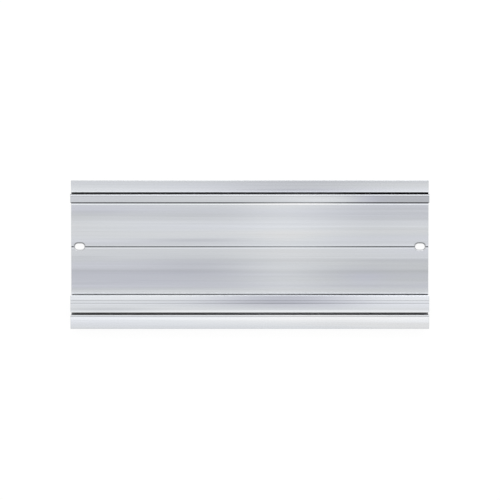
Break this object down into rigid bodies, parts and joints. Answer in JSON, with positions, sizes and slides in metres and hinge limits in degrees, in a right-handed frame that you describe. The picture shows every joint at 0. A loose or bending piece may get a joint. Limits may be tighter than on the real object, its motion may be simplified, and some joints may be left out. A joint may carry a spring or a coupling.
{
  "type": "plc mounting rail",
  "caption": "Extruded aluminium mounting rail for plc modules, with an upper hook ridge, an integral 35 mm din section with screw channel, and slotted end holes.",
  "frame": {"origin": "centre of the rail's back, in the plane that touches the wall", "axes": "+X along the extrusion, +Y up when the rail is on a wall, +Z out of the wall towards the modules"},
  "size_m": [0.374, 0.155, 0.016],
  "materials": {
    "drawn_aluminium": "mill-finished extrusion, drawn lines along its length"
  },
  "bodies": {
    "root": {"mounting_rail": "drawn_aluminium"}
  },
  "joints": []
}
